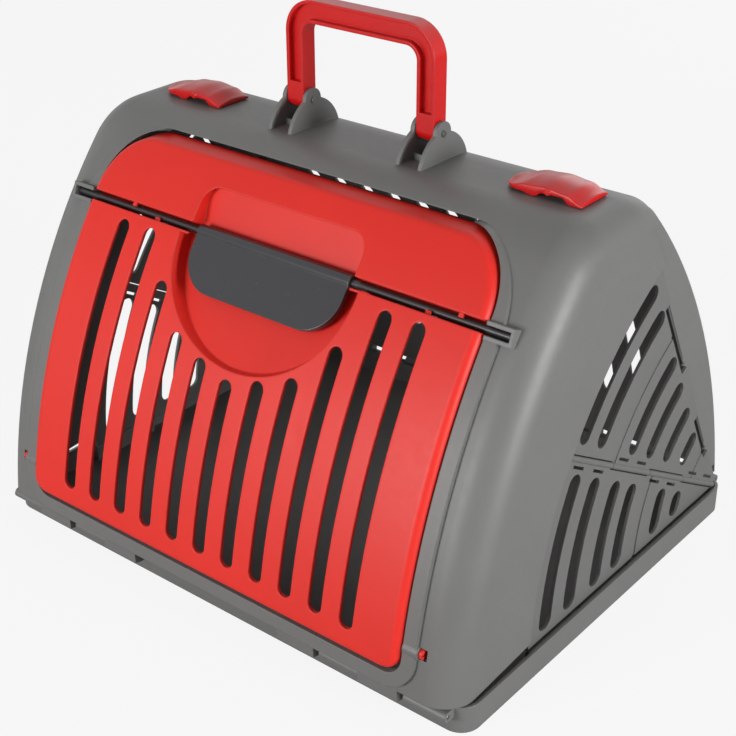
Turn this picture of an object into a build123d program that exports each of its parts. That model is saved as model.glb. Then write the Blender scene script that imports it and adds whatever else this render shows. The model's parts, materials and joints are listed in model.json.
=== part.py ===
from build123d import *
from math import asin, atan2, cos, degrees, hypot, radians, sin, sqrt
import os

os.makedirs("parts", exist_ok=True)

# Frame: X runs along the ridge, Y from the door side to the back, Z up.
# The origin is the middle of the tray's underside.

# Tray
tray_length = 470
tray_depth = 372
tray_height = 22
tray_wall = 2.8
tray_floor = 2.8
tray_corner = 16

# Moulded walls and clearances
wall = 2.8
gap = 0.6
pin_play = 0.05
side_play = 0.5

# Ridge profile, from the front foot over the crest to the back foot
shell_inset = 3
shell_length = tray_length - 2 * shell_inset
end_bend = 26
foot_z = 24
front_foot_y = -198.7
front_lean = 84
front_radius = 509
front_turn = 35
crest_front_radius = 60
crest_flat = 42
crest_back_radius = 55
crest_back_turn = 44
back_radius = 520
back_turn = 36.4
crest_lip_y = 34
profile_drop = 8

# Folding end walls: both panels are sectors about the apex at the tray's back corner
apex_y = 186
apex_z = 16
panel_angle = 30.6
panel_radius = 288
panel_start = 12
plate_start = 14
panel_knuckles = 4
seam_length = 325
seam_edge_gap = 1
panel_thickness = 2.6
flange_gap = 2.8
panel_inset = 8.8
fold_axis_offset = 2.2
panel_inner_x = tray_length / 2 - panel_inset
fold_axis_x = panel_inner_x + fold_axis_offset
fold_barrel_radius = 2.3
fold_pin_radius = 1.2
fold_band = 3.2
upper_slot_radii = (277, 248, 192.5, 160, 127, 93)
lower_slot_radii = (268, 236, 200, 170, 112, 80)
upper_slot_width = 15
lower_slot_width = 16
slot_margin = 10.5
upper_step_radii = (216, 64)
lower_step_radii = (141,)
step_width = 4.5
step_depth = 1
snap_window_length = 17
snap_window_width = 2.4
snap_window_offset = 6
snap_window_inset = 9
seam_windows = ((55, 107), (170, 248))
seam_window_depth = 9
flange_window_depth = 5

# Back shell
back_inset = 4
back_half = panel_inner_x - back_inset
back_end_bend = 6
flange_foot = 9
back_edge_y = 22
vent_width = 12
vent_pitch = 30
vent_count = 11
vent_low = 70
vent_high = 235

# Shell hinges along the tray's long sides
hinge_y = 191.5
hinge_z = 17
hinge_barrel_radius = 4.2
hinge_pin_radius = 1.6
tab_width = 36
shell_tab_inset = (143, 67)
tray_tab_inset = (105, 29)
shell_tab_x = [tray_length / 2 - inset for inset in shell_tab_inset]
tray_tab_x = [tray_length / 2 - inset for inset in tray_tab_inset]
tab_low_z = 14.5
tab_slot_length = 20
tab_slot_width = 2.4
tab_slot_z = 24.5
foot_relief_half = 73
foot_relief = 3
end_relief = 6
end_relief_start = -180
end_relief_stop = -98

# Door
door_inset = 45
door_half = shell_length / 2 - door_inset
door_low_z = 41
door_high_z = 314
door_top_bend = 42
door_bottom_bend = 14
door_proud = 8
door_depth = 12
door_skin = 3
door_edge_round = 6
opening_side_gap = 1.2
opening_low_gap = 4
opening_top_gap = 3.5
rib_width = 11
rib_proud = 3
door_slot_width = 12.5
door_slot_pitch = 28.4
door_slot_low = 58.5
door_slot_tops = (188, 195, 205, 233, 262, 262)
dish_half = 86
dish_drop = 72
dish_lip = 5
trough_lip = 4
bowl_room = 1
trough_half = 78
trough_top_z = 298
trough_bend = 14
door_pin_y = -192
door_pin_z = 61
door_pin_radius = 2.5
door_boss_radius = 5.5
bearing_proud = 1.5
door_boss_depth = 11
door_pin_head_radius = 4
door_pin_head = 3

# Latch bar across the door
rod_z = 266
rod_inset = 0.5
rod_radius = 3
rod_reach = 20
rod_half = door_half + rod_reach
rod_lift = 0.4
groove_play = 1.2
paddle_half = 73
paddle_proud = 2
paddle_drop = 44
paddle_rise = 3
paddle_thickness = 5
paddle_bend = 30
paddle_barrel_radius = 5.5
keeper_wall = 3
keeper_play = 0.5
keeper_end = 3
keeper_reach = 9
keeper_root = 7
clip_insets = ((-1, 45, 1), (-1, 72, -1), (1, 45, -1), (1, 20, 1))
clip_places = [(end * (door_half - inset), way) for end, inset, way in clip_insets]
clip_size = 4
clip_thickness = 2

# Carrying handle and its ears
handle_pivot_y = -4
handle_pivot_z = 346
handle_outer_half = 69.5
handle_leg_width = 16
handle_depth = 14
handle_top_z = 424
handle_bar_height = 17
handle_outer_bend = 26
handle_inner_bend = 10
handle_groove = 5
handle_groove_rib = 2.6
ear_thickness = 3
ear_head_radius = 9
ear_foot_front = -31
ear_foot_back = 26
ear_flare = 34
ear_root_back = 3.4
handle_pin_radius = 2.5
handle_pin_end = 1

# Ridge latches
latch_inset = 65
latch_x = shell_length / 2 - latch_inset
latch_y = -4
latch_length = 66
latch_width = 34
latch_height = 7
latch_lift = 0.4
latch_edge = 2
stem_radius = 4
stem_offset = 12
cam_length = 20
cam_width = 9
cam_height = 3.5
cam_play = 0.4


# Circle centre of the front arc and of the back arc
front_centre_y = front_foot_y + front_radius * sin(radians(front_lean))
front_centre_z = foot_z - front_radius * cos(radians(front_lean))
crest_turn = front_lean - front_turn
shell_half = shell_length / 2
crest_z = (
    front_centre_z
    + (front_radius - crest_front_radius) * cos(radians(crest_turn))
    + crest_front_radius
)


def front_y(inset, z):
    # y of the front face, moved inwards by the inset, at the height z
    reach = front_radius - inset
    return front_centre_y - sqrt(reach**2 - (z - front_centre_z) ** 2)


def front_slope(z):
    # angle of the front face above the horizontal at the height z
    return degrees(asin((front_centre_y - front_y(0, z)) / front_radius))


def face_inset(point):
    # depth of a point of the front or the crest below the outer profile
    turn = degrees(atan2(front_centre_y - point.Y, point.Z - front_centre_z))
    if turn > crest_turn:
        return front_radius - hypot(point.Y - front_centre_y, point.Z - front_centre_z)
    crest_y = front_centre_y - (front_radius - crest_front_radius) * sin(radians(crest_turn))
    return crest_front_radius - hypot(point.Y - crest_y, point.Z - crest_z + crest_front_radius)


def ridge_region(inset, drop=0, mode=Mode.ADD):
    # closed region under the ridge profile, moved inwards by the inset
    start_angle = front_lean + degrees(drop / front_radius)
    reach = front_radius - inset
    start_y = front_centre_y - reach * sin(radians(start_angle))
    start_z = front_centre_z + reach * cos(radians(start_angle))
    heading = (cos(radians(start_angle)), sin(radians(start_angle)))
    with BuildLine() as outline:
        front = JernArc((start_y, start_z), heading, reach, crest_turn - start_angle)
        rise = JernArc(front @ 1, front % 1, crest_front_radius - inset, -crest_turn)
        top = Line(rise @ 1, (rise @ 1) + Vector(crest_flat, 0))
        fall = JernArc(top @ 1, top % 1, crest_back_radius - inset, -crest_back_turn)
        back_arc = back_turn + degrees(drop / back_radius)
        back = JernArc(fall @ 1, fall % 1, back_radius - inset, -back_arc)
        Line(back @ 1, front @ 0)
    make_face(outline.edges(), mode=mode)


def ridge_solid(inset, half_length, bend, drop=0):
    # solid under the profile with softly bent ends
    with BuildPart() as solid:
        with BuildSketch(Plane.YZ):
            ridge_region(inset, drop)
        extrude(amount=half_length, both=True)
        rims = [
            edge
            for edge in solid.edges()
            if abs(abs(edge.center().X) - half_length) < gap
            and abs(abs((edge @ 0).X) - half_length) < gap
            and abs(abs((edge @ 1).X) - half_length) < gap
            and edge.center().Z > foot_z + profile_drop
        ]
        fillet(rims, bend)
    return solid.part


def ridge_band(outer, inner, half_length):
    # sheet that follows the profile between two insets
    with BuildPart() as band:
        with BuildSketch(Plane.YZ):
            ridge_region(outer)
            ridge_region(inner, profile_drop, mode=Mode.SUBTRACT)
        extrude(amount=half_length, both=True)
    return band.part


def on_ray(radius, angle):
    # point of an end wall, in (y, z), at a radius and angle from the apex
    return (
        apex_y - radius * cos(radians(angle)),
        apex_z + radius * sin(radians(angle)),
    )


def ray_plane(x, angle):
    # plane of an end wall whose own x runs out from the apex along a ray
    return Plane(
        origin=(x, apex_y, apex_z),
        x_dir=(0, -cos(radians(angle)), sin(radians(angle))),
        z_dir=(1, 0, 0),
    )


def door_outline(grow, low, high):
    # rounded outline of the door, grown by the given amount
    half = door_half + grow
    with BuildSketch(Plane.XZ.offset(-crest_lip_y)) as outline:
        with Locations((0, (low + high) / 2)):
            Rectangle(2 * half, high - low)
        fillet(outline.vertices().group_by(Axis.Y)[-1], door_top_bend + grow)
        fillet(outline.vertices().group_by(Axis.Y)[0], door_bottom_bend + grow)
    return outline.sketch


def front_prism(outline):
    # prism that runs from above the crest out through the front
    with BuildPart() as prism:
        extrude(outline, amount=tray_depth, dir=(0, -1, 0))
    return prism.part


def hinge_stretches(first):
    # stretches of an end-wall hinge line that belong to one of its two sides
    pitch = (panel_radius - panel_start) / panel_knuckles
    return [
        (panel_start + place * pitch + side_play, panel_start + (place + 1) * pitch - side_play)
        for place in range(first, panel_knuckles, 2)
    ]


def shell_tab(side):
    # outline, seen from the end, of a shell tab and its hinge barrel
    foot = -front_foot_y
    Polygon(
        (side * foot, foot_z + wall),
        (side * (foot - wall), foot_z + wall),
        (side * (hinge_y - 1), hinge_z + hinge_barrel_radius),
        (side * hinge_y, hinge_z - hinge_barrel_radius),
        (side * foot, tab_low_z),
        align=None,
    )
    with Locations((side * hinge_y, hinge_z)):
        Circle(hinge_barrel_radius)


# Places worked out from the sizes above
opening_low = door_low_z - opening_low_gap
opening_high = door_high_z + opening_top_gap
seam_angle = 2 * panel_angle
seam_top = on_ray(seam_length, seam_angle)
rod_y = front_y(rod_inset, rod_z)
rod_tilt = radians(front_slope(rod_z))
bearing_in = door_half + opening_side_gap
bearing_out = bearing_in + rib_width + bearing_proud
tray_inside = tray_length / 2 - tray_wall
groove_half = rod_radius + groove_play


# Base tray: floor, rim and the fixed barrels of every hinge that stands on it
with BuildPart() as base_tray:
    with BuildSketch():
        RectangleRounded(tray_length, tray_depth, tray_corner)
    extrude(amount=tray_height)
    with BuildSketch(Plane.XY.offset(tray_floor)):
        RectangleRounded(
            tray_length - 2 * tray_wall, tray_depth - 2 * tray_wall, tray_corner - tray_wall
        )
    extrude(amount=tray_height, mode=Mode.SUBTRACT)
    for side in (-1, 1):
        for x in tray_tab_x:
            for end in (-1, 1):
                with BuildSketch(Plane.YZ.offset(end * x)):
                    with Locations((side * hinge_y, hinge_z)):
                        Circle(hinge_barrel_radius)
                    with Locations((side * (hinge_y + tray_depth / 2 - tray_wall) / 2, hinge_z)):
                        Rectangle(hinge_y - tray_depth / 2 + tray_wall, 2 * hinge_barrel_radius)
                extrude(amount=tab_width / 2, both=True)
        with Locations((0, side * hinge_y, hinge_z)):
            Cylinder(
                hinge_pin_radius + pin_play,
                tray_length,
                rotation=(0, 90, 0),
                mode=Mode.SUBTRACT,
            )
    for end in (-1, 1):
        for low, high in hinge_stretches(1):
            with BuildSketch(Plane.XZ.offset(low - apex_y)):
                with Locations((end * fold_axis_x, apex_z)):
                    Circle(fold_barrel_radius)
                foot_width = tray_inside - fold_axis_x + fold_barrel_radius
                foot_x = tray_inside - foot_width / 2
                with Locations((end * foot_x, (apex_z + tray_floor) / 2)):
                    Rectangle(foot_width, apex_z - tray_floor)
            extrude(amount=high - low)
        with Locations((end * fold_axis_x, apex_y - panel_radius / 2, apex_z)):
            Cylinder(
                fold_pin_radius + pin_play,
                panel_radius,
                rotation=(90, 0, 0),
                mode=Mode.SUBTRACT,
            )
base_tray.part.label = "base_tray"
export_step(base_tray.part, "parts/base_tray.step")


door_opening = front_prism(door_outline(opening_side_gap, opening_low, opening_high))
rib_outline = front_prism(
    door_outline(opening_side_gap + rib_width, opening_low - rib_width, opening_high)
)
rib_band = ridge_band(-rib_proud, wall / 2, shell_half - end_bend)
with BuildPart() as frame_rib:
    add(rib_band)
    add(rib_outline, mode=Mode.INTERSECT)

# Front shell: wraps over the crest, with an end flange round each folding wall
front_block = ridge_solid(0, shell_half, end_bend)
front_cavity = ridge_solid(wall, shell_half - wall, end_bend - wall, profile_drop)
with BuildPart() as front_shell:
    add(front_block)
    add(front_cavity, mode=Mode.SUBTRACT)
    with BuildSketch(Plane.YZ) as behind:
        Polygon(
            (apex_y, apex_z),
            seam_top,
            (crest_lip_y, seam_top[1]),
            (crest_lip_y, tray_depth),
            (tray_depth, tray_depth),
            (tray_depth, -foot_z),
            (apex_y, -foot_z),
            align=None,
        )
        with Locations((apex_y, apex_z)):
            Circle(panel_radius + flange_gap)
        with Locations((0, 0)):
            Rectangle(2 * tray_depth, 2 * foot_z)
        Polygon(
            (end_relief_start, foot_z),
            (end_relief_stop, foot_z),
            (end_relief_stop, foot_z + end_relief),
            align=None,
        )
    extrude(amount=tray_length, both=True, mode=Mode.SUBTRACT)
    with Locations((0, front_foot_y, foot_z)):
        Box(2 * foot_relief_half, 4 * wall, 2 * foot_relief, mode=Mode.SUBTRACT)
    add(frame_rib.part)
    add(door_opening, mode=Mode.SUBTRACT)
    # hinge tabs
    for x in shell_tab_x:
        for end in (-1, 1):
            with BuildSketch(Plane.YZ.offset(end * x)):
                shell_tab(-1)
            extrude(amount=tab_width / 2 - side_play, both=True)
            with Locations((end * x, front_foot_y, tab_slot_z)):
                Box(tab_slot_length, 4 * wall, tab_slot_width, mode=Mode.SUBTRACT)
    with Locations((0, -hinge_y, hinge_z)):
        Cylinder(
            hinge_pin_radius + pin_play, tray_length, rotation=(0, 90, 0), mode=Mode.SUBTRACT
        )
    # bearings of the door pins, just outside the rib
    for end in (-1, 1):
        with Locations((end * (bearing_in + bearing_out) / 2, door_pin_y, door_pin_z)):
            Cylinder(door_boss_radius, bearing_out - bearing_in, rotation=(0, 90, 0))
            Cylinder(
                door_pin_radius + pin_play, 2 * rib_width, rotation=(0, 90, 0), mode=Mode.SUBTRACT
            )
        with Locations((end * (bearing_out + door_pin_head), door_pin_y, door_pin_z)):
            Cylinder(
                door_pin_head_radius + side_play,
                2 * door_pin_head,
                rotation=(0, 90, 0),
                mode=Mode.SUBTRACT,
            )
    # keepers that take the ends of the latch bar, open along the door's swing
    swing = atan2(rod_z - door_pin_z, rod_y - door_pin_y)
    keeper_plane = Plane(
        origin=(0, rod_y, rod_z), x_dir=(0, -sin(swing), cos(swing)), z_dir=(1, 0, 0)
    )
    slot_half = rod_radius + keeper_play
    for end in (-1, 1):
        with BuildSketch(keeper_plane.offset(end * bearing_in)):
            with Locations(((rod_radius + keeper_wall - keeper_root) / 2, 0)):
                Rectangle(
                    keeper_root + rod_radius + keeper_wall, 2 * (slot_half + keeper_wall)
                )
        extrude(amount=end * (rod_half + keeper_end - bearing_in))
        with BuildSketch(keeper_plane.offset(end * door_half)):
            Circle(slot_half)
            with Locations((keeper_reach, 0)):
                Rectangle(2 * keeper_reach, 2 * slot_half)
        extrude(amount=end * (rod_half + keeper_play - door_half), mode=Mode.SUBTRACT)
    # ears of the handle
    ear_centres = [
        handle_outer_half + side_play + ear_thickness / 2,
        handle_outer_half - handle_leg_width - side_play - ear_thickness / 2,
    ]
    for end in (-1, 1):
        for centre in ear_centres:
            with BuildSketch(Plane.YZ.offset(end * centre)):
                with BuildLine():
                    front_edge = RadiusArc(
                        (ear_foot_front, crest_z - wall / 2),
                        (handle_pivot_y - ear_head_radius, handle_pivot_z),
                        ear_flare,
                    )
                    crown = ThreePointArc(
                        front_edge @ 1,
                        (handle_pivot_y, handle_pivot_z + ear_head_radius),
                        (handle_pivot_y + ear_head_radius, handle_pivot_z),
                    )
                    back_edge = RadiusArc(
                        crown @ 1, (ear_foot_back, crest_z - ear_root_back), ear_flare
                    )
                    Line(back_edge @ 1, front_edge @ 0)
                make_face()
            extrude(amount=ear_thickness / 2, both=True)
        with Locations((end * sum(ear_centres) / 2, handle_pivot_y, handle_pivot_z)):
            Cylinder(
                handle_pin_radius + pin_play,
                handle_leg_width * 2,
                rotation=(0, 90, 0),
                mode=Mode.SUBTRACT,
            )
        # hole for the ridge latch's stem
        with Locations((end * latch_x + stem_offset, latch_y, crest_z - wall / 2)):
            Cylinder(stem_radius + pin_play, 3 * wall, mode=Mode.SUBTRACT)
front_shell.part.label = "front_shell"
export_step(front_shell.part, "parts/front_shell.step")

# Back shell: nests just inside the front shell
back_inset = wall + gap
back_bend = end_bend - back_inset
back_block = ridge_solid(back_inset, back_half, back_end_bend)
back_cavity = ridge_solid(
    back_inset + wall, back_half - wall, back_end_bend - wall, profile_drop
)
tucked_block = ridge_solid(back_inset, back_half, back_bend)
tucked_cavity = ridge_solid(back_inset + wall, back_half - wall, back_bend - wall, profile_drop)
with BuildPart() as outside_tuck:
    with Locations((0, crest_lip_y + gap - tray_depth / 2, tray_depth / 2)):
        Box(tray_length, tray_depth, tray_depth)
    add(tucked_block, mode=Mode.SUBTRACT)
with BuildPart() as cavity_behind:
    add(back_cavity)
    with Locations((0, crest_lip_y + gap + wall - tray_depth / 2, tray_depth / 2)):
        Box(tray_length, tray_depth, tray_depth, mode=Mode.SUBTRACT)
with BuildPart() as back_shell:
    add(back_block)
    add(outside_tuck.part, mode=Mode.SUBTRACT)
    add(tucked_cavity, mode=Mode.SUBTRACT)
    add(cavity_behind.part, mode=Mode.SUBTRACT)
    with BuildSketch(Plane.YZ) as ahead:
        Polygon(
            (apex_y + gap, 0),
            (apex_y + gap, apex_z),
            (seam_top[0] + gap, seam_top[1]),
            (back_edge_y, seam_top[1]),
            (back_edge_y, tray_depth),
            (-tray_depth, tray_depth),
            (-tray_depth, 0),
            align=None,
        )
        with Locations((0, 0)):
            Rectangle(2 * tray_depth, 2 * foot_z)
    extrude(amount=tray_length, both=True, mode=Mode.SUBTRACT)
    # the end flanges stop short of the tray and open at the seam's windows
    with Locations((0, (apex_y + hinge_y) / 2 - flange_foot, foot_z)):
        Box(
            tray_length,
            hinge_y - apex_y + 2 * flange_foot,
            2 * flange_foot,
            mode=Mode.SUBTRACT,
        )
    for low, high in seam_windows:
        with BuildSketch(ray_plane(0, seam_angle)):
            with Locations(((low + high) / 2, 0)):
                Rectangle(high - low, 2 * flange_window_depth)
        extrude(amount=tray_length / 2, both=True, mode=Mode.SUBTRACT)
    for x in shell_tab_x:
        for end in (-1, 1):
            with BuildSketch(Plane.YZ.offset(end * x)):
                shell_tab(1)
            extrude(amount=tab_width / 2 - side_play, both=True)
    with Locations((0, hinge_y, hinge_z)):
        Cylinder(
            hinge_pin_radius + pin_play, tray_length, rotation=(0, 90, 0), mode=Mode.SUBTRACT
        )
    with BuildSketch(Plane.XZ.offset(-back_edge_y * 2)):
        with Locations((0, (vent_low + vent_high) / 2)):
            with GridLocations(vent_pitch, 1, vent_count, 1):
                SlotOverall(vent_high - vent_low, vent_width, rotation=90)
    extrude(amount=-tray_depth, mode=Mode.SUBTRACT)
back_shell.part.label = "back_shell"
export_step(back_shell.part, "parts/back_shell.step")


def end_panel(end, low_angle, radii, slot_width, step_radii, own_low, own_high, seam):
    # folding end panel: a slotted sector with barrels along its hinge lines
    high_angle = low_angle + panel_angle
    plate_x = end * (panel_inner_x + panel_thickness / 2)
    plate = Plane.YZ.offset(plate_x)
    hinge_lines = [(low_angle, own_low)]
    if own_high is not None:
        hinge_lines.append((high_angle, own_high))
    with BuildPart() as panel:
        with BuildSketch(plate):
            with BuildLine():
                low_edge = Line(on_ray(plate_start, low_angle), on_ray(panel_radius, low_angle))
                rim = ThreePointArc(
                    low_edge @ 1,
                    on_ray(panel_radius, low_angle + panel_angle / 2),
                    on_ray(panel_radius, high_angle),
                )
                Polyline(rim @ 1, on_ray(plate_start, high_angle), low_edge @ 0)
            make_face()
        extrude(amount=panel_thickness / 2, both=True)
        for radius in radii:
            half = slot_width / 2
            margin = degrees((slot_margin + half) / radius)
            start = low_angle + margin
            stop = high_angle - margin
            middle = low_angle + panel_angle / 2
            cap = degrees(half / radius)
            with BuildSketch(plate):
                with BuildLine():
                    outer = ThreePointArc(
                        on_ray(radius + half, start),
                        on_ray(radius + half, middle),
                        on_ray(radius + half, stop),
                    )
                    high_cap = ThreePointArc(
                        outer @ 1, on_ray(radius, stop + cap), on_ray(radius - half, stop)
                    )
                    inner = ThreePointArc(
                        high_cap @ 1, on_ray(radius - half, middle), on_ray(radius - half, start)
                    )
                    ThreePointArc(inner @ 1, on_ray(radius, start - cap), outer @ 0)
                make_face()
            extrude(amount=panel_thickness, both=True, mode=Mode.SUBTRACT)
        outer_face = Plane.YZ.offset(end * (panel_inner_x + panel_thickness))
        for radius in step_radii:
            with BuildSketch(outer_face):
                with Locations((apex_y, apex_z)):
                    Circle(radius + step_width / 2)
                    Circle(radius - step_width / 2, mode=Mode.SUBTRACT)
            extrude(amount=-end * step_depth, mode=Mode.SUBTRACT)
        for angle, own in hinge_lines:
            # room for the other side's barrels, then this side's own barrels
            for low, high in hinge_stretches(1 - own):
                with BuildSketch(ray_plane(plate_x, angle)):
                    with Locations(((low + high) / 2, 0)):
                        Rectangle(high - low + 2 * side_play, 2 * fold_band)
                extrude(amount=panel_thickness, both=True, mode=Mode.SUBTRACT)
            for low, high in hinge_stretches(own):
                if angle == panel_angle:
                    way = 1 if own == 0 else -1
                    for place in (low + snap_window_inset, high - snap_window_inset):
                        turn = 1 if place < (low + high) / 2 else -1
                        middle = place + turn * snap_window_length / 2
                        with BuildSketch(ray_plane(plate_x, angle)):
                            with Locations((middle, -way * snap_window_offset)):
                                Rectangle(snap_window_length, snap_window_width)
                        extrude(amount=panel_thickness, both=True, mode=Mode.SUBTRACT)
                start = on_ray(low, angle)
                direction = (0, -cos(radians(angle)), sin(radians(angle)))
                with BuildSketch(Plane((end * fold_axis_x, *start), z_dir=direction)):
                    Circle(fold_barrel_radius)
                extrude(amount=high - low)
            direction = (0, -cos(radians(angle)), sin(radians(angle)))
            with BuildSketch(Plane((end * fold_axis_x, apex_y, apex_z), z_dir=direction)):
                Circle(fold_pin_radius + pin_play)
            extrude(amount=panel_radius + panel_start, mode=Mode.SUBTRACT)
        if seam:
            with BuildSketch(ray_plane(plate_x, high_angle)):
                with Locations((panel_radius / 2, 0)):
                    Rectangle(2 * panel_radius, 2 * seam_edge_gap)
                for low, high in seam_windows:
                    with Locations(((low + high) / 2, 0)):
                        Rectangle(high - low, 2 * seam_window_depth)
            extrude(amount=panel_thickness, both=True, mode=Mode.SUBTRACT)
    return panel.part


# Folding end panels and the pins they turn on
for side_name, end in (("left", -1), ("right", 1)):
    lower = end_panel(
        end, 0, lower_slot_radii, lower_slot_width, lower_step_radii, 0, 1, False
    )
    lower.label = f"lower_end_panel_{side_name}"
    export_step(lower, f"parts/{lower.label}.step")
    upper = end_panel(
        end, panel_angle, upper_slot_radii, upper_slot_width, upper_step_radii, 0, None, True
    )
    upper.label = f"upper_end_panel_{side_name}"
    export_step(upper, f"parts/{upper.label}.step")
    for pin_name, angle in (("panel_base_pin", 0), ("panel_fold_pin", panel_angle)):
        direction = (0, -cos(radians(angle)), sin(radians(angle)))
        start = on_ray(panel_start + side_play, angle)
        with BuildPart() as panel_pin:
            with BuildSketch(Plane((end * fold_axis_x, *start), z_dir=direction)):
                Circle(fold_pin_radius)
            extrude(amount=panel_radius - panel_start - 2 * side_play)
        panel_pin.part.label = f"{pin_name}_{side_name}"
        export_step(panel_pin.part, f"parts/{panel_pin.part.label}.step")


# Rods of the two long hinges, one along each half of a side
for side_name, side in (("front", -1), ("back", 1)):
    pin_in = shell_tab_x[0] - tab_width / 2 + side_play
    pin_out = tray_tab_x[-1] + tab_width / 2
    with BuildPart() as hinge_rods:
        for end in (-1, 1):
            with Locations((end * (pin_in + pin_out) / 2, side * hinge_y, hinge_z)):
                Cylinder(hinge_pin_radius, pin_out - pin_in, rotation=(0, 90, 0))
    hinge_rods.part.label = f"{side_name}_hinge_rods"
    export_step(hinge_rods.part, f"parts/{hinge_rods.part.label}.step")


def dish_outline(grow):
    # finger dish of the door: a half ellipse below the bar and a trough above it
    trough_low = rod_z - trough_bend
    with BuildSketch() as trough:
        with Locations((0, (trough_low + trough_top_z + grow) / 2)):
            Rectangle(2 * (trough_half + grow), trough_top_z + grow - trough_low)
        fillet(trough.vertices().group_by(Axis.Y)[-1], trough_bend)
    with BuildSketch() as outline:
        with Locations((0, rod_z)):
            Ellipse(dish_half + grow, dish_drop + grow)
        with Locations((0, rod_z + dish_half)):
            Rectangle(4 * dish_half, 2 * dish_half, mode=Mode.SUBTRACT)
        add(trough.sketch)
    return Plane.XZ.offset(-crest_lip_y) * outline.sketch


def bowl_solid(shift, prism):
    # space in front of the dish's sloping floor, with the floor moved back by the shift
    top, middle, low = bowl_points
    front = front_foot_y - tray_depth / 2
    with BuildPart() as bowl:
        with BuildSketch(Plane.YZ):
            Polygon(
                (top[0] + shift, top[1] + shift),
                (middle[0] + shift, middle[1]),
                (low[0] + shift, low[1] - shift),
                (front, low[1] - shift),
                (front, top[1] + shift),
                align=None,
            )
        extrude(amount=door_half, both=True)
        add(prism, mode=Mode.INTERSECT)
    return bowl.part


# Door: a bowed panel with a returned edge, a finger dish and a grille of slots
door_prism = front_prism(door_outline(0, door_low_z, door_high_z))
door_core_prism = front_prism(
    door_outline(-door_skin, door_low_z + door_skin, door_high_z - door_skin)
)
door_core_band = ridge_band(door_skin - door_proud, door_depth, door_half)
skin_band = ridge_band(door_skin / 2 - door_proud, 2 * door_depth, door_half)
door_band = ridge_band(-door_proud, door_depth - door_proud, door_half + wall)
with BuildPart() as door_core:
    add(door_core_band)
    add(door_core_prism, mode=Mode.INTERSECT)
face_plane = Plane(
    origin=(0, rod_y, rod_z), x_dir=(1, 0, 0), z_dir=(0, -sin(rod_tilt), cos(rod_tilt))
)
bowl_middle = paddle_barrel_radius + bowl_room
bowl_points = [
    (front_y(trough_lip - door_proud, trough_top_z), trough_top_z),
    (rod_y + bowl_middle * sin(rod_tilt), rod_z - bowl_middle * cos(rod_tilt)),
    (front_y(dish_lip - door_proud, rod_z - dish_drop), rod_z - dish_drop),
]
dish_void = bowl_solid(0, front_prism(dish_outline(0)))
dish_backing = bowl_solid(door_skin, front_prism(dish_outline(door_skin)))
with BuildPart() as dish_block:
    add(dish_backing)
    add(skin_band, mode=Mode.INTERSECT)
groove_floor = face_plane.offset(-rod_radius - rod_lift)
with BuildPart() as door_panel:
    add(door_band)
    add(door_prism, mode=Mode.INTERSECT)
    face_rim = [
        edge
        for edge in door_panel.edges()
        if all(abs(face_inset(edge @ place) + door_proud) < pin_play for place in (0, 0.5, 1))
        and edge.length > 1
    ]
    fillet(face_rim, door_edge_round)
    add(door_core.part, mode=Mode.SUBTRACT)
    with BuildSketch(groove_floor.offset(-door_skin)):
        Rectangle(2 * door_half, 2 * (groove_half + door_skin))
    extrude(amount=rod_radius + door_skin + door_proud / 2)
    add(dish_block.part)
    add(dish_void, mode=Mode.SUBTRACT)
    with BuildSketch(groove_floor):
        Rectangle(4 * door_half, 2 * groove_half)
    extrude(amount=2 * door_depth, mode=Mode.SUBTRACT)
    with BuildSketch(Plane.XZ.offset(-crest_lip_y)):
        reach = len(door_slot_tops) - 1
        for place in range(-reach, reach + 1):
            top = door_slot_tops[abs(place)]
            with Locations((place * door_slot_pitch, (top + door_slot_low) / 2)):
                SlotOverall(top - door_slot_low, door_slot_width, rotation=90)
    extrude(amount=tray_depth, mode=Mode.SUBTRACT)
    for end in (-1, 1):
        with Locations((end * (door_half - door_boss_depth / 2), door_pin_y, door_pin_z)):
            Cylinder(door_boss_radius, door_boss_depth, rotation=(0, 90, 0))
            Cylinder(
                door_pin_radius + pin_play, 2 * door_boss_depth, rotation=(0, 90, 0), mode=Mode.SUBTRACT
            )
    for x, way in clip_places:
        with BuildSketch(face_plane.offset(rod_radius + rod_lift)):
            with Locations((x, way * (groove_half - clip_size / 4))):
                Rectangle(clip_size, clip_size)
        extrude(amount=clip_thickness)
door_panel.part.label = "door_panel"
export_step(door_panel.part, "parts/door_panel.step")


# Pins the door swings on, each with a slotted head outside the rib
for side_name, end in (("left", -1), ("right", 1)):
    inner = door_half - door_boss_depth + side_play
    head_in = bearing_out + side_play
    with BuildPart() as door_pin:
        with BuildSketch(Plane.YZ.offset(end * inner)):
            with Locations((door_pin_y, door_pin_z)):
                Circle(door_pin_radius)
        extrude(amount=end * (head_in - inner))
        with BuildSketch(Plane.YZ.offset(end * head_in)):
            with Locations((door_pin_y, door_pin_z)):
                Circle(door_pin_head_radius)
        extrude(amount=end * door_pin_head)
        with BuildSketch(Plane.YZ.offset(end * (head_in + door_pin_head))):
            with Locations((door_pin_y, door_pin_z)):
                Rectangle(2 * door_pin_head_radius, door_pin_head / 2)
        extrude(amount=-end * door_pin_head / 2, mode=Mode.SUBTRACT)
    door_pin.part.label = f"door_pin_{side_name}"
    export_step(door_pin.part, f"parts/{door_pin.part.label}.step")


# Latch bar: a rod along the door and the paddle that turns it
with BuildPart() as latch_rod:
    with Locations((0, rod_y, rod_z)):
        Cylinder(rod_radius, 2 * rod_half, rotation=(0, 90, 0))
latch_rod.part.label = "latch_rod"
export_step(latch_rod.part, "parts/latch_rod.step")

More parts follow.
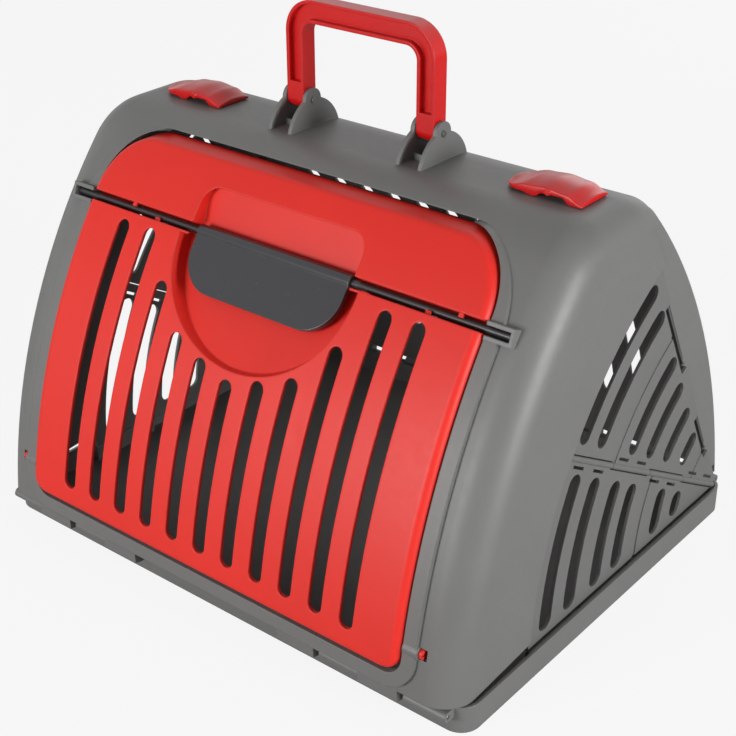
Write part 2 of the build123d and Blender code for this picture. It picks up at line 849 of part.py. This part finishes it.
with BuildPart() as latch_paddle:
    with BuildSketch(face_plane.offset(paddle_proud - paddle_thickness / 2)) as paddle_outline:
        with Locations((0, (paddle_rise - paddle_drop) / 2)):
            Rectangle(2 * paddle_half, paddle_rise + paddle_drop)
        fillet(paddle_outline.vertices().group_by(Axis.Y)[0], paddle_bend)
    extrude(amount=paddle_thickness)
    with Locations((0, rod_y, rod_z)):
        Cylinder(paddle_barrel_radius, 2 * paddle_half, rotation=(0, 90, 0))
        Cylinder(
            rod_radius + pin_play, 2 * rod_half, rotation=(0, 90, 0), mode=Mode.SUBTRACT
        )
latch_paddle.part.label = "latch_paddle"
export_step(latch_paddle.part, "parts/latch_paddle.step")


def handle_outline(outer_cut, inner_grow, low):
    # arch of the handle seen from the front
    half = handle_outer_half - outer_cut
    high = handle_top_z - outer_cut
    inner_half = handle_outer_half - handle_leg_width + inner_grow
    inner_high = handle_top_z - handle_bar_height + inner_grow
    with BuildSketch() as window:
        with Locations((0, inner_high - handle_top_z / 2)):
            Rectangle(2 * inner_half, handle_top_z)
        fillet(window.vertices().group_by(Axis.Y)[-1], handle_inner_bend + inner_grow)
    with BuildSketch() as arch:
        with Locations((0, (high + low) / 2)):
            Rectangle(2 * half, high - low)
        fillet(arch.vertices().group_by(Axis.Y)[-1], handle_outer_bend - outer_cut)
        add(window.sketch, mode=Mode.SUBTRACT)
    return Plane.XZ.offset(handle_depth / 2 - handle_pivot_y) * arch.sketch


# Carrying handle: a channelled arch on two pins
handle_face = handle_outline(0, 0, handle_pivot_z)
groove_face = handle_outline(
    handle_groove_rib, handle_groove_rib, handle_pivot_z + handle_depth
)
with BuildPart() as carry_handle:
    extrude(handle_face, amount=-handle_depth)
    for end in (-1, 1):
        with Locations(
            (end * (handle_outer_half - handle_leg_width / 2), handle_pivot_y, handle_pivot_z)
        ):
            Cylinder(handle_depth / 2, handle_leg_width, rotation=(0, 90, 0))
            Cylinder(
                handle_pin_radius + pin_play, 2 * handle_leg_width, rotation=(0, 90, 0), mode=Mode.SUBTRACT
            )
    extrude(groove_face, amount=-handle_groove, mode=Mode.SUBTRACT)
carry_handle.part.label = "carry_handle"
export_step(carry_handle.part, "parts/carry_handle.step")

for side_name, end in (("left", -1), ("right", 1)):
    with BuildPart() as handle_pin:
        with Locations((end * sum(ear_centres) / 2, handle_pivot_y, handle_pivot_z)):
            Cylinder(
                handle_pin_radius,
                handle_leg_width + 2 * (ear_thickness + side_play + handle_pin_end),
                rotation=(0, 90, 0),
            )
    handle_pin.part.label = f"handle_pin_{side_name}"
    export_step(handle_pin.part, f"parts/{handle_pin.part.label}.step")


# Ridge latches: a wing above the crest, its stem through it and a cam below
for side_name, end in (("left", -1), ("right", 1)):
    stem_x = end * latch_x + stem_offset
    cam_top = crest_z - wall - cam_play
    with BuildPart() as ridge_latch:
        with BuildSketch(Plane.XY.offset(crest_z + latch_lift)):
            with Locations((end * latch_x, latch_y)):
                SlotOverall(latch_length, latch_width)
        extrude(amount=latch_height)
        fillet(ridge_latch.edges().group_by(Axis.Z)[-1], latch_edge)
        with BuildSketch(Plane.XY.offset(crest_z + latch_lift)):
            with Locations((stem_x, latch_y)):
                Circle(stem_radius)
        extrude(amount=cam_top - crest_z - latch_lift)
        with BuildSketch(Plane.XY.offset(cam_top)):
            with Locations((stem_x, latch_y)):
                Circle(stem_radius / 2)
        extrude(amount=-cam_height)
    ridge_latch.part.label = f"ridge_latch_{side_name}"
    export_step(ridge_latch.part, f"parts/{ridge_latch.part.label}.step")
    with BuildPart() as latch_cam:
        with BuildSketch(Plane.XY.offset(cam_top)):
            with Locations((stem_x, latch_y + (cam_length - cam_width) / 2)):
                SlotOverall(cam_length, cam_width, rotation=90)
            with Locations((stem_x, latch_y)):
                Circle(stem_radius / 2 + pin_play, mode=Mode.SUBTRACT)
        extrude(amount=-cam_height)
    latch_cam.part.label = f"latch_cam_{side_name}"
    export_step(latch_cam.part, f"parts/{latch_cam.part.label}.step")
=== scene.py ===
import json
from math import cos, radians, sin, sqrt

import bmesh
import bpy
from mathutils import Matrix, Vector


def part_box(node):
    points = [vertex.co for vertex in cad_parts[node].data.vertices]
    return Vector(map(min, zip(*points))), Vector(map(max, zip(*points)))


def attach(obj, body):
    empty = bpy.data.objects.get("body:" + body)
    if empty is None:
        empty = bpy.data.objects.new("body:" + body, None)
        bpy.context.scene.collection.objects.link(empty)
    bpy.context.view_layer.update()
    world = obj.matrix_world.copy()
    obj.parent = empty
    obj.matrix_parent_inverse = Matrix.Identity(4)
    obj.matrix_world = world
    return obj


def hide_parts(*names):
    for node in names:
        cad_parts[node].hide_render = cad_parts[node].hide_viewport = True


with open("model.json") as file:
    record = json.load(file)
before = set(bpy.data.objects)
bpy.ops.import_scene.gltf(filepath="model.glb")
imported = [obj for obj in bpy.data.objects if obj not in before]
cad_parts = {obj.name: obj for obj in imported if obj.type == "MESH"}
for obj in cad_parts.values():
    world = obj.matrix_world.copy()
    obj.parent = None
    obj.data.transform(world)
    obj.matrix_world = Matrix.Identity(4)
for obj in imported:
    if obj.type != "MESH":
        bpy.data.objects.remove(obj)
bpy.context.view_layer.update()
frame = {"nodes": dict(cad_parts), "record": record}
print("frame loaded")

# Moulded plastics

shellPlastic = {
    "colour": (0.150, 0.150, 0.146),
    "worn": (0.215, 0.215, 0.210),
    "roughness": 0.46,
    "grainSize": 1500,
    "grainDepth": 0.00005,
    "softEdge": 0.0012,
}
wallPlastic = {
    "colour": (0.135, 0.135, 0.131),
    "worn": (0.21, 0.21, 0.205),
    "roughness": 0.5,
    "grainSize": 1500,
    "grainDepth": 0.00005,
    "softEdge": 0.0008,
}
doorPlastic = {
    "colour": (0.74, 0.022, 0.013),
    "worn": (0.80, 0.07, 0.05),
    "roughness": 0.45,
    "specular": 0.36,
    "grainSize": 1700,
    "grainDepth": 0.00004,
    "softEdge": 0.0018,
}
handlePlastic = {
    "colour": (0.60, 0.006, 0.006),
    "worn": (0.70, 0.04, 0.03),
    "roughness": 0.3,
    "specular": 0.42,
    "grainSize": 1900,
    "grainDepth": 0.00002,
    "softEdge": 0.0012,
}
paddlePlastic = {
    "colour": (0.030, 0.030, 0.034),
    "worn": (0.10, 0.10, 0.11),
    "roughness": 0.24,
    "grainSize": 1900,
    "grainDepth": 0.00001,
    "softEdge": 0.0012,
}
rodPlastic = {
    "colour": (0.028, 0.027, 0.028),
    "worn": (0.09, 0.085, 0.085),
    "roughness": 0.32,
    "grainSize": 1900,
    "grainDepth": 0.00001,
    "softEdge": 0.0006,
}
pinSteel = {
    "colour": (0.22, 0.22, 0.22),
    "worn": (0.42, 0.42, 0.42),
    "roughness": 0.35,
    "grainSize": 2200,
    "grainDepth": 0.00001,
    "softEdge": 0.0003,
    "metallic": 1.0,
}


moulding = {
    "ior": 1.49,
    "flowSize": 14,
    "flowWarp": 0.6,
    "flowDepth": 0.0012,
    "flowStrength": 0.12,
    "grainStrength": 0.7,
    "scuffSize": 160,
    "edgeFlat": 0.99,
    "edgeSharp": 0.80,
    "toneDrift": 0.07,
    "duller": 0.07,
    "glossier": 0.05,
}


def mouldedMaterial(name, look):
    # fine grain, faint flow marks, a little tone drift and paler rubbed edges
    material = bpy.data.materials.new(name)
    material.use_nodes = True
    nodes, links = material.node_tree.nodes, material.node_tree.links
    shader = nodes["Principled BSDF"]
    shader.inputs["Metallic"].default_value = look.get("metallic", 0.0)
    shader.inputs["IOR"].default_value = moulding["ior"]
    shader.inputs["Specular IOR Level"].default_value = look.get("specular", 0.5)
    place = nodes.new("ShaderNodeTexCoord")

    grain = nodes.new("ShaderNodeTexNoise")
    grain.inputs["Scale"].default_value = look["grainSize"]
    grain.inputs["Detail"].default_value = 2
    flow = nodes.new("ShaderNodeTexNoise")
    flow.inputs["Scale"].default_value = moulding["flowSize"]
    flow.inputs["Detail"].default_value = 3
    flow.inputs["Distortion"].default_value = moulding["flowWarp"]
    scuff = nodes.new("ShaderNodeTexNoise")
    scuff.inputs["Scale"].default_value = moulding["scuffSize"]
    scuff.inputs["Detail"].default_value = 6
    for noise in (grain, flow, scuff):
        links.new(place.outputs["Object"], noise.inputs["Vector"])

    rounded = nodes.new("ShaderNodeBevel")
    rounded.samples = 6
    rounded.inputs["Radius"].default_value = look["softEdge"]
    ripple = nodes.new("ShaderNodeBump")
    ripple.inputs["Distance"].default_value = moulding["flowDepth"]
    ripple.inputs["Strength"].default_value = moulding["flowStrength"]
    links.new(flow.outputs["Fac"], ripple.inputs["Height"])
    links.new(rounded.outputs["Normal"], ripple.inputs["Normal"])
    skin = nodes.new("ShaderNodeBump")
    skin.inputs["Distance"].default_value = look["grainDepth"]
    skin.inputs["Strength"].default_value = moulding["grainStrength"]
    links.new(grain.outputs["Fac"], skin.inputs["Height"])
    links.new(ripple.outputs["Normal"], skin.inputs["Normal"])
    links.new(skin.outputs["Normal"], shader.inputs["Normal"])

    surface = nodes.new("ShaderNodeNewGeometry")
    turn = nodes.new("ShaderNodeVectorMath")
    turn.operation = "DOT_PRODUCT"
    links.new(rounded.outputs["Normal"], turn.inputs[0])
    links.new(surface.outputs["Normal"], turn.inputs[1])
    edge = nodes.new("ShaderNodeMapRange")
    edge.inputs["From Min"].default_value = moulding["edgeFlat"]
    edge.inputs["From Max"].default_value = moulding["edgeSharp"]
    links.new(turn.outputs["Value"], edge.inputs["Value"])
    rubbed = nodes.new("ShaderNodeMath")
    rubbed.operation = "MULTIPLY"
    links.new(edge.outputs["Result"], rubbed.inputs[0])
    links.new(scuff.outputs["Fac"], rubbed.inputs[1])

    tone = nodes.new("ShaderNodeMix")
    tone.data_type = "RGBA"
    for side, way in (("A", -1), ("B", 1)):
        drift = 1 + way * moulding["toneDrift"]
        tone.inputs[side].default_value = [c * drift for c in look["colour"]] + [1]
    links.new(flow.outputs["Fac"], tone.inputs["Factor"])
    worn = nodes.new("ShaderNodeMix")
    worn.data_type = "RGBA"
    worn.inputs["B"].default_value = list(look["worn"]) + [1]
    links.new(tone.outputs["Result"], worn.inputs["A"])
    links.new(rubbed.outputs["Value"], worn.inputs["Factor"])
    links.new(worn.outputs["Result"], shader.inputs["Base Color"])

    polish = nodes.new("ShaderNodeMapRange")
    polish.inputs["To Min"].default_value = look["roughness"] - moulding["glossier"]
    polish.inputs["To Max"].default_value = look["roughness"] + moulding["duller"]
    links.new(scuff.outputs["Fac"], polish.inputs["Value"])
    links.new(polish.outputs["Result"], shader.inputs["Roughness"])
    return material


finishes = {
    "shell_grey": mouldedMaterial("shellGrey", shellPlastic),
    "panel_grey": mouldedMaterial("wallGrey", wallPlastic),
    "door_red": mouldedMaterial("doorRed", doorPlastic),
    "handle_red": mouldedMaterial("handleRed", handlePlastic),
    "paddle_slate": mouldedMaterial("paddleSlate", paddlePlastic),
    "rod_dark": mouldedMaterial("rodDark", rodPlastic),
    "pin_dark": mouldedMaterial("pinSteel", pinSteel),
}
slots = {part["node"]: part["material_slot"] for part in frame["record"]["subparts"]}
for name, node in frame["nodes"].items():
    node.data.materials.clear()
    node.data.materials.append(finishes[slots[name]])
print("plastics mixed")

# New pieces, in the frame's own metres


def asPiece(shape, name, body, slot, angle=40):
    # a finished bmesh becomes an object that rides on its body
    mesh = bpy.data.meshes.new(name)
    shape.to_mesh(mesh)
    shape.free()
    mesh.materials.append(finishes[slot])
    mesh.shade_smooth()
    mesh.set_sharp_from_angle(angle=radians(angle))
    piece = bpy.data.objects.new(name, mesh)
    bpy.context.scene.collection.objects.link(piece)
    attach(piece, body)
    return piece


def curveThrough(points, place):
    # height of a smooth line through the points at the given place
    if place <= points[0][0]:
        return points[0][1]
    for (startPlace, start), (endPlace, end) in zip(points, points[1:]):
        if place <= endPlace:
            share = (place - startPlace) / (endPlace - startPlace)
            share = share * share * (3 - 2 * share)
            return start + (end - start) * share
    return points[-1][1]


def softenRims(shape, width, segments, steep):
    rims = [e for e in shape.edges if len(e.link_faces) == 2 and e.calc_face_angle() > radians(steep)]
    bmesh.ops.bevel(
        shape, geom=rims, offset=width, offset_type="OFFSET", segments=segments,
        profile=0.5, affect="EDGES", clamp_overlap=True, material=-1,
    )


latch = {
    "halfLength": 0.033,
    "halfWidth": 0.017,
    "tabRound": 0.016,
    "lift": 0.0005,
    "tabSquareness": 2.4,
    "wingHeight": 0.0074,
    "top": (
        (-0.033, 0.0030), (-0.029, 0.0058), (-0.012, 0.0092),
        (0.004, 0.0104), (0.020, 0.0088), (0.033, 0.0042),
    ),
    "under": (
        (-0.033, 0.0018), (-0.016, 0.0014), (-0.009, 0.0), (-0.005, 0.0),
        (0.001, 0.0034), (0.017, 0.0040), (0.023, 0.0), (0.033, 0.0),
    ),
    "leastThickness": 0.0007,
    "crown": 0.0024,
    "thumbHollow": 0.0012,
    "thumbPlace": 0.021,
    "thumbHalf": 0.010,
    "rim": 0.0009,
    "bumpRadii": (0.0026, 0.0020),
    "bumpDepth": 0.0016,
    "bumpPlace": (0.006, 0.0002, 0.0058),
}


def makeLatch(node, body):
    low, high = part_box(node)
    middle = (low + high) / 2
    crest = high.z - latch["wingHeight"]
    shape = bmesh.new()
    bmesh.ops.create_grid(shape, x_segments=40, y_segments=16, size=1)
    for vertex in shape.verts:
        along, across = vertex.co.x * latch["halfLength"], vertex.co.y
        intoTab = max(0, -along - latch["halfLength"] + latch["tabRound"]) / latch["tabRound"]
        width = latch["halfWidth"] * sqrt(max(0, 1 - min(1, intoTab) ** latch["tabSquareness"]))
        offThumb = (along + latch["thumbPlace"]) / latch["thumbHalf"]
        hollow = latch["thumbHollow"] * max(0, 1 - offThumb ** 2) * (1 - across * across)
        height = curveThrough(latch["top"], along) - latch["crown"] * across * across - hollow
        vertex.co = (middle.x + along, middle.y + across * width, crest + latch["lift"] + height)
    below = bmesh.ops.extrude_face_region(shape, geom=list(shape.faces))
    for vertex in (g for g in below["geom"] if isinstance(g, bmesh.types.BMVert)):
        along = vertex.co.x - middle.x
        floor = curveThrough(latch["under"], along)
        vertex.co.z = min(crest + latch["lift"] + floor, vertex.co.z - latch["leastThickness"])
    bmesh.ops.remove_doubles(shape, verts=list(shape.verts), dist=0.00005)
    bmesh.ops.recalc_face_normals(shape, faces=list(shape.faces))
    softenRims(shape, latch["rim"], 2, 50)
    # pivot bump in the notch, on the side that faces the door
    along, out, rise = latch["bumpPlace"]
    spot = (middle.x + along, middle.y - latch["halfWidth"] - out, crest + rise)
    base, tip = latch["bumpRadii"]
    bmesh.ops.create_cone(
        shape, cap_ends=True, segments=24, radius1=base, radius2=tip, depth=latch["bumpDepth"],
        matrix=Matrix.Translation(spot) @ Matrix.Rotation(radians(90), 4, "X"),
    )
    piece = asPiece(shape, node + "Lever", body, "handle_red", 45)
    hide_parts(node)


makeLatch("ridge_latch_left", "ridge_left")
makeLatch("ridge_latch_right", "ridge_right")
print("ridge latches made")

seamRod = {
    "apex": (0.186, 0.016),
    "angle": 61.2,
    "windows": ((0.055, 0.107), (0.170, 0.248)),
    "x": 0.2242,
    "radius": 0.0012,
    "lug": 0.010,
    "lugRadius": 0.0019,
    "lugLap": 0.001,
    "tail": 0.014,
    "rim": 0.0003,
    "lugRim": 0.0004,
}


def makeSeamRod(end, name):
    # bright rod that shows in each window of the seam, held in two lugs
    along = Vector((0, -cos(radians(seamRod["angle"])), sin(radians(seamRod["angle"]))))
    start = Vector((end * seamRod["x"], *seamRod["apex"]))
    facing = along.to_track_quat("Z", "Y").to_matrix().to_4x4()
    shape = bmesh.new()
    for low, high in seamRod["windows"]:
        length = high - low + 2 * seamRod["tail"]
        centre = start + along * (low + high) / 2
        bmesh.ops.create_cone(
            shape, cap_ends=True, segments=20, radius1=seamRod["radius"], radius2=seamRod["radius"],
            depth=length, matrix=Matrix.Translation(centre) @ facing,
        )
    softenRims(shape, seamRod["rim"], 2, 60)
    asPiece(shape, name, "back", "pin_dark")
    lugs = bmesh.new()
    for low, high in seamRod["windows"]:
        inset = seamRod["lug"] / 2 - seamRod["lugLap"]
        for spot in (low - inset, high + inset):
            bmesh.ops.create_cone(
                lugs, cap_ends=True, segments=24, radius1=seamRod["lugRadius"], radius2=seamRod["lugRadius"],
                depth=seamRod["lug"], matrix=Matrix.Translation(start + along * spot) @ facing,
            )
    softenRims(lugs, seamRod["lugRim"], 2, 60)
    asPiece(lugs, name + "Lugs", "back", "panel_grey")


makeSeamRod(-1, "seamRodLeft")
makeSeamRod(1, "seamRodRight")
print("seam rods made")

earWeb = {
    "inner": 0.0524,
    "outer": 0.0706,
    "y": (-0.013, 0.005),
    "thickness": 0.0022,
    "height": 0.0046,
    "crest": 0.32537,
    "rim": 0.0006,
}


def makeEarWebs():
    # low cross bars that tie the two ears of each pair
    shape = bmesh.new()
    for end in (-1, 1):
        for spot in earWeb["y"]:
            cube = bmesh.ops.create_cube(shape, size=1)["verts"]
            length = earWeb["outer"] - earWeb["inner"]
            bmesh.ops.scale(shape, vec=(length, earWeb["thickness"], earWeb["height"] * 1.4), verts=cube)
            middle = end * (earWeb["inner"] + earWeb["outer"]) / 2
            rise = earWeb["crest"] + earWeb["height"] * 0.3
            bmesh.ops.translate(shape, vec=(middle, spot, rise), verts=cube)
    softenRims(shape, earWeb["rim"], 2, 60)
    asPiece(shape, "earWebs", "front", "shell_grey")


makeEarWebs()
print("ear webs made")

# Camera at the photograph's angle

camera = {
    "lens": 73.57,
    "sensor": 36,
    "azimuth": 39.100,
    "elevation": 28.297,
    "roll": -0.195,
    "distance": 1.2197,
    "target": (-0.00053, 0, 0.1297),
}


def placeCamera():
    turn, rise, roll = (radians(camera[key]) for key in ("azimuth", "elevation", "roll"))
    back = Vector((sin(turn) * cos(rise), -cos(turn) * cos(rise), sin(rise)))
    right = (-back).cross(Vector((0, 0, 1))).normalized()
    up = right.cross(-back)
    across = cos(roll) * right + sin(roll) * up
    upright = cos(roll) * up - sin(roll) * right
    lens = bpy.data.cameras.new("camera")
    lens.lens = camera["lens"]
    lens.sensor_width = camera["sensor"]
    lens.sensor_fit = "HORIZONTAL"
    holder = bpy.data.objects.new("camera", lens)
    bpy.context.scene.collection.objects.link(holder)
    facing = Matrix((across, upright, back)).transposed().to_4x4()
    holder.matrix_world = Matrix.Translation(Vector(camera["target"]) + back * camera["distance"]) @ facing
    bpy.context.scene.camera = holder


placeCamera()

# Studio: pale floor, white background, soft boxes

studio = {
    "floorHalf": 6,
    "floorColour": (0.6, 0.6, 0.6, 1),
    "floorGlow": 0.88,
    "ambient": 0.21,
    "aim": (0, 0, 0.15),
    "key": {"place": (-0.5, -2.1, 0.6), "size": 0.9, "power": 30},
    "side": {"place": (2.4, -0.1, 0.55), "size": 0.8, "power": 46},
    "top": {"place": (0.0, 0.3, 2.0), "size": 1.2, "power": 1.5},
    "rear": {"place": (-0.4, 2.0, 1.0), "size": 1.2, "power": 5},
}


def seenDirectly(nodes, links):
    # 1 for what the camera, a reflection or a see-through surface shows
    ray = nodes.new("ShaderNodeLightPath")
    first = nodes.new("ShaderNodeMath")
    first.operation = "MAXIMUM"
    links.new(ray.outputs["Is Camera Ray"], first.inputs[0])
    links.new(ray.outputs["Is Glossy Ray"], first.inputs[1])
    both = nodes.new("ShaderNodeMath")
    both.operation = "MAXIMUM"
    links.new(first.outputs["Value"], both.inputs[0])
    links.new(ray.outputs["Is Transmission Ray"], both.inputs[1])
    return both.outputs["Value"]


def layStudio():
    world = bpy.data.worlds.new("studio")
    bpy.context.scene.world = world
    world.use_nodes = True
    nodes, links = world.node_tree.nodes, world.node_tree.links
    sky = nodes["Background"]
    sky.inputs["Color"].default_value = (1, 1, 1, 1)
    level = nodes.new("ShaderNodeMapRange")
    level.inputs["To Min"].default_value = studio["ambient"]
    level.inputs["To Max"].default_value = 1
    links.new(seenDirectly(nodes, links), level.inputs["Value"])
    links.new(level.outputs["Result"], sky.inputs["Strength"])

    shape = bmesh.new()
    bmesh.ops.create_grid(shape, x_segments=4, y_segments=4, size=studio["floorHalf"])
    mesh = bpy.data.meshes.new("floor")
    shape.to_mesh(mesh)
    shape.free()
    floor = bpy.data.objects.new("floor", mesh)
    bpy.context.scene.collection.objects.link(floor)
    paper = bpy.data.materials.new("floorPaper")
    paper.use_nodes = True
    nodes, links = paper.node_tree.nodes, paper.node_tree.links
    matt = nodes["Principled BSDF"]
    matt.inputs["Base Color"].default_value = studio["floorColour"]
    matt.inputs["Roughness"].default_value = 0.9
    glow = nodes.new("ShaderNodeEmission")
    glow.inputs["Strength"].default_value = 1
    share = nodes.new("ShaderNodeMath")
    share.operation = "MULTIPLY"
    share.inputs[1].default_value = studio["floorGlow"]
    ray = nodes.new("ShaderNodeLightPath")
    links.new(ray.outputs["Is Camera Ray"], share.inputs[0])
    blend = nodes.new("ShaderNodeMixShader")
    links.new(share.outputs["Value"], blend.inputs["Fac"])
    links.new(matt.outputs["BSDF"], blend.inputs[1])
    links.new(glow.outputs["Emission"], blend.inputs[2])
    links.new(blend.outputs["Shader"], nodes["Material Output"].inputs["Surface"])
    mesh.materials.append(paper)

    for name in ("key", "side", "top", "rear"):
        box = studio[name]
        lamp = bpy.data.lights.new(name, "AREA")
        lamp.energy = box["power"]
        lamp.shape = "DISK"
        lamp.size = box["size"]
        holder = bpy.data.objects.new(name, lamp)
        holder.location = box["place"]
        aim = Vector(studio["aim"]) - Vector(box["place"])
        holder.rotation_euler = aim.to_track_quat("-Z", "Y").to_euler()
        bpy.context.scene.collection.objects.link(holder)


layStudio()
bpy.context.scene.view_settings.view_transform = "Standard"
print("studio laid")
